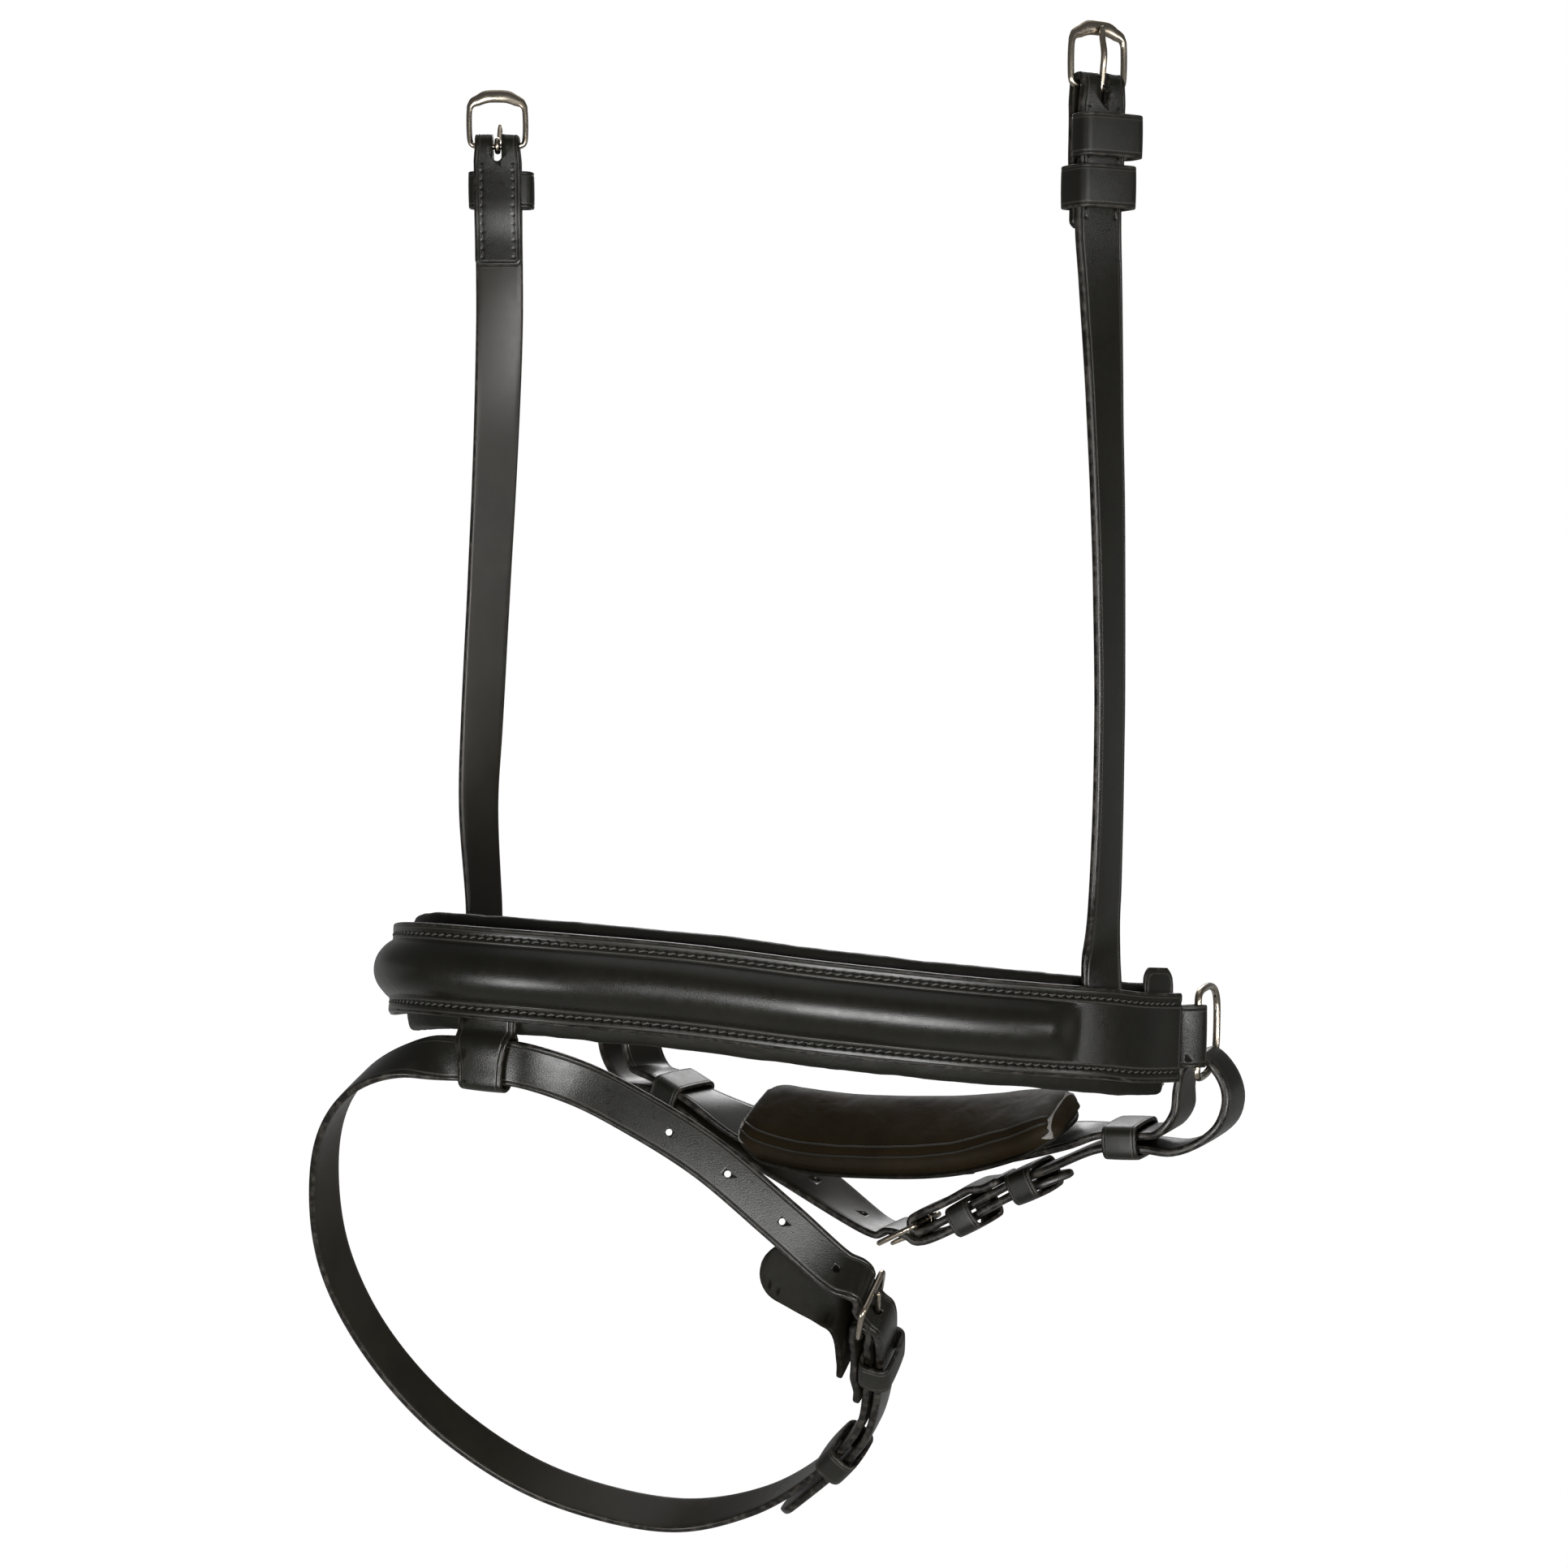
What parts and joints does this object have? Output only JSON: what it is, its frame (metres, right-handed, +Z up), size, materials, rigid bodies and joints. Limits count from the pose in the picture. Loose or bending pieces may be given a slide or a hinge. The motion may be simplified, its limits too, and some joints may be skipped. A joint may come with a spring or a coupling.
{
  "type": "crank noseband",
  "caption": "Padded leather crank noseband with flash strap, doubled chin strap threaded through end rings, and buckled cheek straps.",
  "frame": {"origin": "middle of the near cheek buckle's heel bar, where the headpiece holds the noseband", "axes": "+Z up along the cheek straps; -X to the far cheek buckle; -Y towards the front of the nose"},
  "size_m": [0.2516, 0.1854, 0.4435],
  "materials": {
    "strap_leather": "waxed, softly glossy black",
    "padded_leather": "soft matt black",
    "steel": "polished stainless",
    "foam": "matt",
    "felt": "matt"
  },
  "bodies": {
    "noseband": {"noseband_outer": "strap_leather", "noseband_roll_core": "felt", "noseband_stiffener": "strap_leather", "noseband_lining": "padded_leather", "noseband_foam": "foam", "near_ring_chape": "strap_leather", "far_ring_chape": "strap_leather", "near_cheek_strap": "strap_leather", "far_cheek_strap": "strap_leather", "near_fixed_keeper": "strap_leather", "far_fixed_keeper": "strap_leather", "flash_loop": "strap_leather"},
    "near_cheek_buckle": {"near_cheek_buckle": "steel"},
    "near_cheek_prong": {"near_cheek_prong": "steel"},
    "far_cheek_buckle": {"far_cheek_buckle": "steel"},
    "far_cheek_prong": {"far_cheek_prong": "steel"},
    "near_running_keeper": {"near_running_keeper": "strap_leather"},
    "near_ring": {"near_ring": "steel"},
    "far_ring": {"far_ring": "steel"},
    "flash": {"flash_strap": "strap_leather", "flash_fixed_keeper": "strap_leather", "flash_buckle_safe": "strap_leather"},
    "flash_buckle": {"flash_buckle": "steel"},
    "flash_prong": {"flash_prong": "steel"},
    "flash_running_keeper": {"flash_running_keeper": "strap_leather"},
    "chin": {"chin_strap": "strap_leather", "chin_fixed_keeper": "strap_leather", "chin_pad_backing": "strap_leather", "chin_pad_cover": "padded_leather", "chin_pad_foam": "foam", "near_pad_loop": "strap_leather", "far_pad_loop": "strap_leather"},
    "chin_buckle": {"chin_buckle": "steel"},
    "chin_prong": {"chin_prong": "steel"},
    "chin_running_keeper": {"chin_running_keeper": "strap_leather"},
    "near_ring_keeper": {"near_ring_keeper": "strap_leather"},
    "far_ring_keeper": {"far_ring_keeper": "strap_leather"}
  },
  "joints": [
    {"name": "near_buckle_tilt", "type": "hinge", "parent": "noseband", "child": "near_cheek_buckle", "pos_m": [0, 0, 0], "axis": [0.4067, 0.9135, 0], "range_deg": [-45, 40]},
    {"name": "near_prong_swing", "type": "hinge", "parent": "near_cheek_buckle", "child": "near_cheek_prong", "pos_m": [0, 0, 0], "axis": [0.4067, 0.9135, 0], "range_deg": [0, 70]},
    {"name": "far_buckle_tilt", "type": "hinge", "parent": "noseband", "child": "far_cheek_buckle", "pos_m": [-0.216, 0, 0], "axis": [-0.7986, -0.6018, 0], "range_deg": [-45, 40]},
    {"name": "far_prong_swing", "type": "hinge", "parent": "far_cheek_buckle", "child": "far_cheek_prong", "pos_m": [-0.216, 0, 0], "axis": [-0.7986, -0.6018, 0], "range_deg": [-52, 15]},
    {"name": "near_keeper_slide", "type": "slide", "parent": "noseband", "child": "near_running_keeper", "axis": [0, 0, 1], "range_m": [-0.01, 0.0015]},
    {"name": "near_ring_swing", "type": "hinge", "parent": "noseband", "child": "near_ring", "pos_m": [0.01088, 0.04947, -0.26913], "axis": [-0.0535, 0.1149, 0.9919], "range_deg": [-2, 2]},
    {"name": "far_ring_swing", "type": "hinge", "parent": "noseband", "child": "far_ring", "pos_m": [-0.21061, 0.04444, -0.27413], "axis": [0.0794, -0.0363, 0.9962], "range_deg": [-2, 2]},
    {"name": "flash_swing", "type": "hinge", "parent": "noseband", "child": "flash", "pos_m": [-0.13435, -0.10214, -0.26804], "axis": [-0.9855, -0.1694, -0.0064], "range_deg": [-8, 8]},
    {"name": "flash_buckle_tilt", "type": "hinge", "parent": "flash", "child": "flash_buckle", "pos_m": [-0.043, -0.045, -0.34], "axis": [-0.0639, 0.7889, 0.6112], "range_deg": [-1, 1]},
    {"name": "flash_prong_swing", "type": "hinge", "parent": "flash_buckle", "child": "flash_prong", "pos_m": [-0.043, -0.045, -0.34], "axis": [-0.0639, 0.7889, 0.6112], "range_deg": [0, 2]},
    {"name": "flash_keeper_slide", "type": "slide", "parent": "flash", "child": "flash_running_keeper", "axis": [-0.6933, 0.1686, -0.7007], "range_m": [-0.002, 0.002]},
    {"name": "chin_swing", "type": "hinge", "parent": "noseband", "child": "chin", "pos_m": [-0.09981, 0.05636, -0.28483], "axis": [0.9995, 0.0199, 0.0229], "range_deg": [-4, 5]},
    {"name": "chin_buckle_tilt", "type": "hinge", "parent": "chin", "child": "chin_buckle", "pos_m": [-0.0841, 0.0508, -0.341], "axis": [0.0799, -0.9967, 0.0126], "range_deg": [-1, 1]},
    {"name": "chin_prong_swing", "type": "hinge", "parent": "chin_buckle", "child": "chin_prong", "pos_m": [-0.0841, 0.0508, -0.341], "axis": [0.0799, -0.9967, 0.0126], "range_deg": [0, 2]},
    {"name": "chin_keeper_slide", "type": "slide", "parent": "chin", "child": "chin_running_keeper", "axis": [0.8835, 0.0514, 0.4656], "range_m": [-0.002, 0.002]},
    {"name": "near_ring_keeper_slide", "type": "slide", "parent": "chin", "child": "near_ring_keeper", "axis": [0.9885, 0.1121, 0.1019], "range_m": [-0.0015, 0.0015]},
    {"name": "far_ring_keeper_slide", "type": "slide", "parent": "chin", "child": "far_ring_keeper", "axis": [0.9466, -0.0806, -0.3122], "range_m": [-0.0015, 0.0015]}
  ]
}
